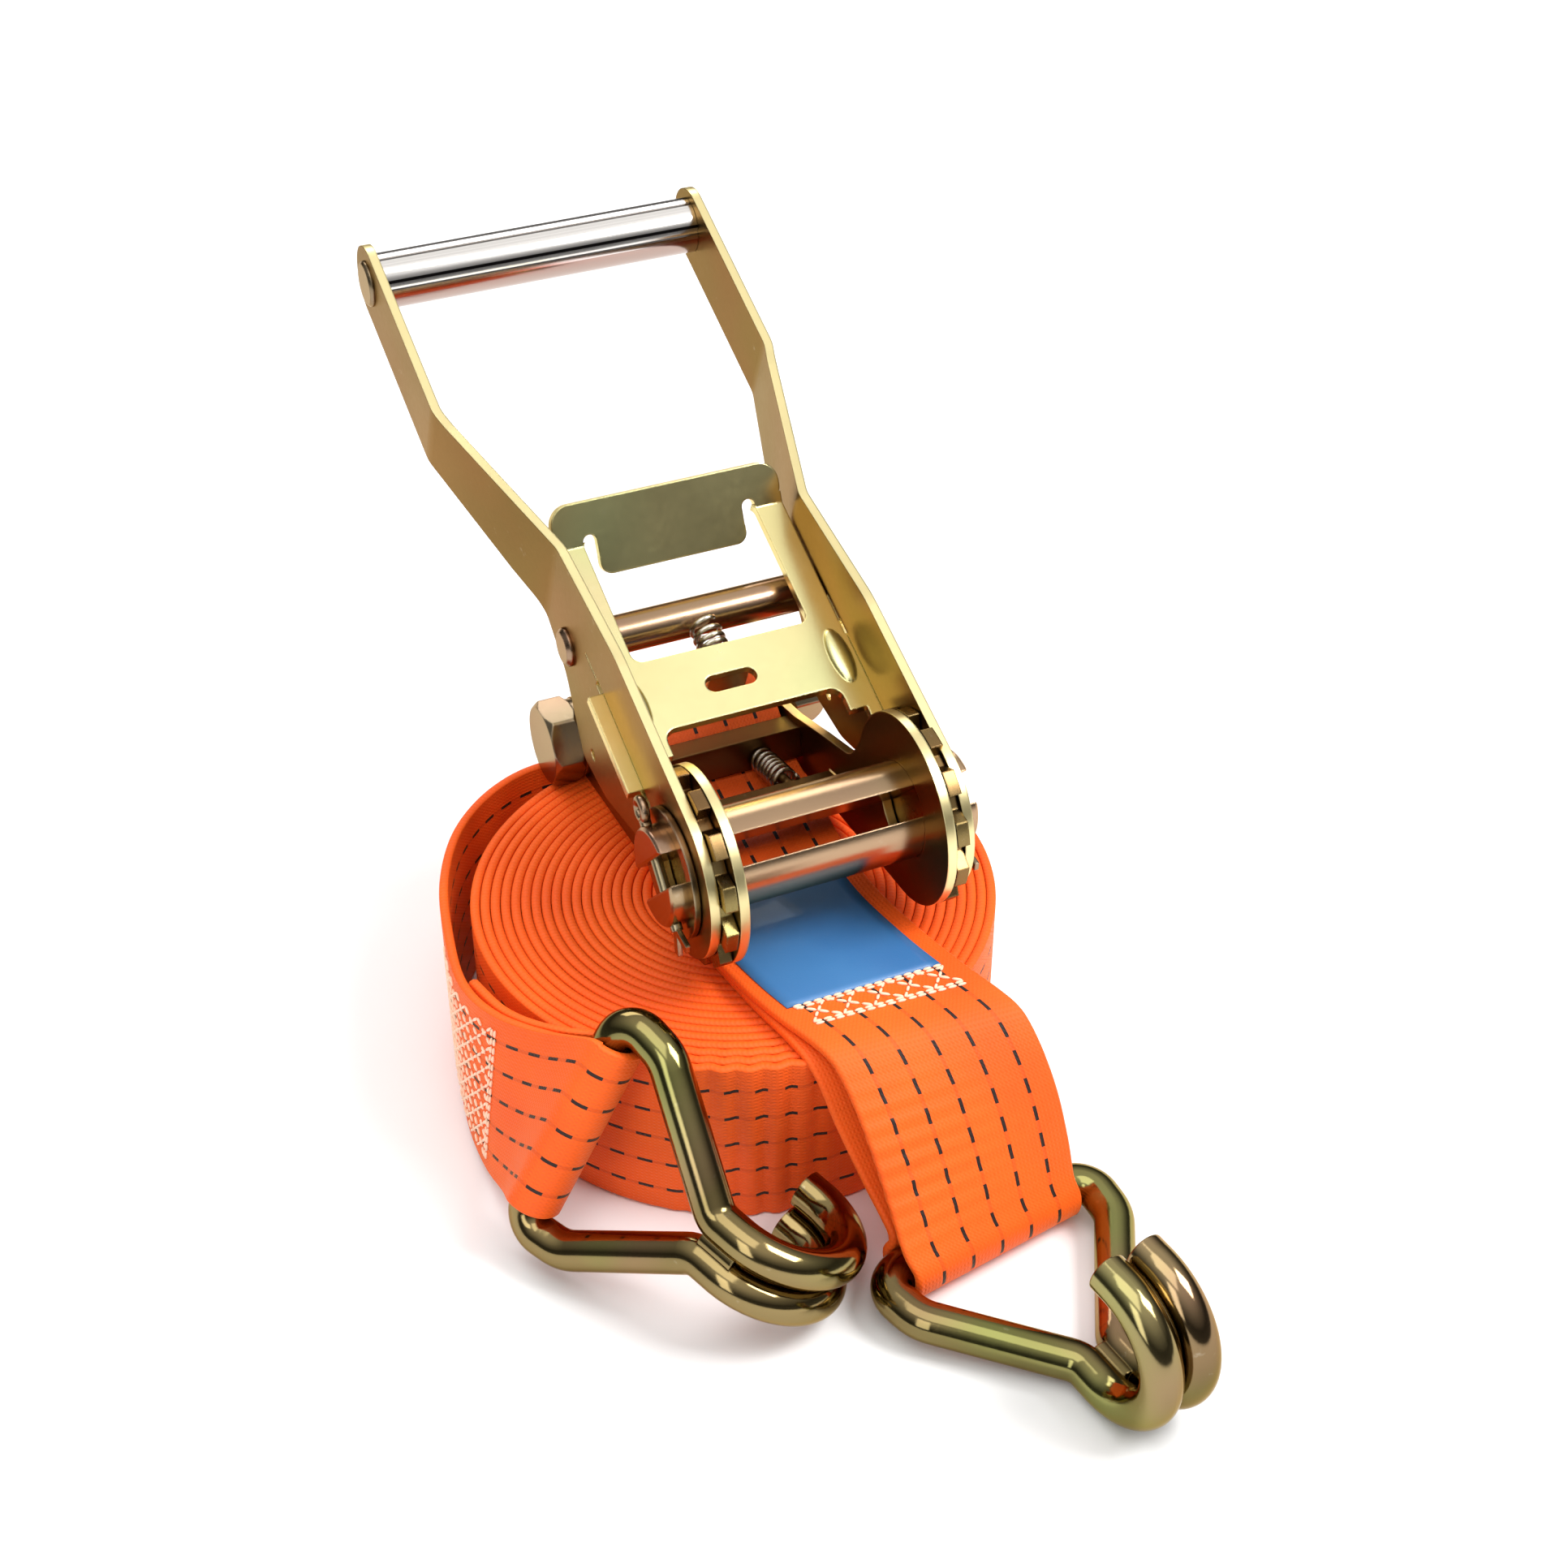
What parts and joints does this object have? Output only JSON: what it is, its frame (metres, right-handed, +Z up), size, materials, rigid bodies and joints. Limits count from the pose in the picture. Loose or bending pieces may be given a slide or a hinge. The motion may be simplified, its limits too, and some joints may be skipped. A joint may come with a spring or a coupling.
{
  "type": "ratchet tie down",
  "caption": "Rolled orange webbing strap with a hand ratchet lying on it, a short strap over its front edge and a double J hook on each strap end.",
  "frame": {"origin": "centre of the underside of the strap roll", "axes": "+X along the ratchet's spool to the nut side, +Y from the spool to the anchor bolt and the handle's grip, +Z up"},
  "size_m": [0.1492, 0.3456, 0.1669],
  "materials": {
    "webbing": "woven polyester",
    "thread": "sewing thread",
    "label": "satin vinyl",
    "plate_steel": "yellow passivated zinc",
    "shaft_steel": "yellow passivated zinc",
    "hook_steel": "polished yellow passivated zinc",
    "grip_steel": "bright zinc",
    "fastener": "zinc",
    "spring_wire": "bright wire"
  },
  "bodies": {
    "roll": {"strap_roll": "webbing", "strap_tail": "webbing", "short_strap": "webbing", "label": "label", "strap_stitching": "thread", "base_plate_left": "plate_steel", "base_plate_right": "plate_steel", "spring_bracket": "plate_steel", "anchor_bolt": "fastener", "anchor_nut": "fastener", "anchor_washers": "fastener", "anchor_sleeve": "fastener", "lock_springs": "spring_wire"},
    "spool": {"half_shaft_upper": "shaft_steel", "half_shaft_lower": "shaft_steel", "ratchet_wheel_left": "plate_steel", "ratchet_wheel_right": "plate_steel", "shaft_washers": "fastener", "cotter_pins": "fastener"},
    "handle": {"handle_plate_left": "plate_steel", "handle_plate_right": "plate_steel", "grip_tube": "grip_steel", "grip_rod": "fastener", "spacer_tube": "shaft_steel", "spacer_rod": "fastener", "drive_spring": "spring_wire"},
    "pull_plate": {"drive_pawl": "plate_steel"},
    "lock": {"lock_pawl": "plate_steel"},
    "short_hook": {"strap_hook": "hook_steel"},
    "long_hook": {"long_strap_hook": "hook_steel"}
  },
  "joints": [
    {"name": "spool_turn", "type": "hinge", "parent": "roll", "child": "spool", "pos_m": [0.0105, -0.024, 0.081], "axis": [1, 0, 0], "continuous": true},
    {"name": "handle_turn", "type": "hinge", "parent": "roll", "child": "handle", "pos_m": [0.0105, -0.024, 0.081], "axis": [1, 0, 0], "range_deg": [0, 150]},
    {"name": "pull_plate_slide", "type": "slide", "parent": "handle", "child": "pull_plate", "axis": [0, 0.9135, 0.4067], "range_m": [-0.0042, 0.0038], "stiffness_N_per_m": 600, "deforming": ["drive_spring"]},
    {"name": "lock_slide", "type": "slide", "parent": "roll", "child": "lock", "axis": [0, 0.9781, -0.2079], "range_m": [0, 0.008], "stiffness_N_per_m": 400, "springref_m": -0.004, "deforming": ["lock_springs"]},
    {"name": "short_hook_swing", "type": "hinge", "parent": "roll", "child": "short_hook", "pos_m": [0.0243, -0.098, 0.0084], "axis": [-0.9848, -0.1736, 0], "range_deg": [0, 60]},
    {"name": "long_hook_swing", "type": "hinge", "parent": "roll", "child": "long_hook", "pos_m": [-0.0633, -0.0518, 0.0385], "axis": [-0.4808, -0.0062, -0.8768], "range_deg": [0, 60]}
  ]
}
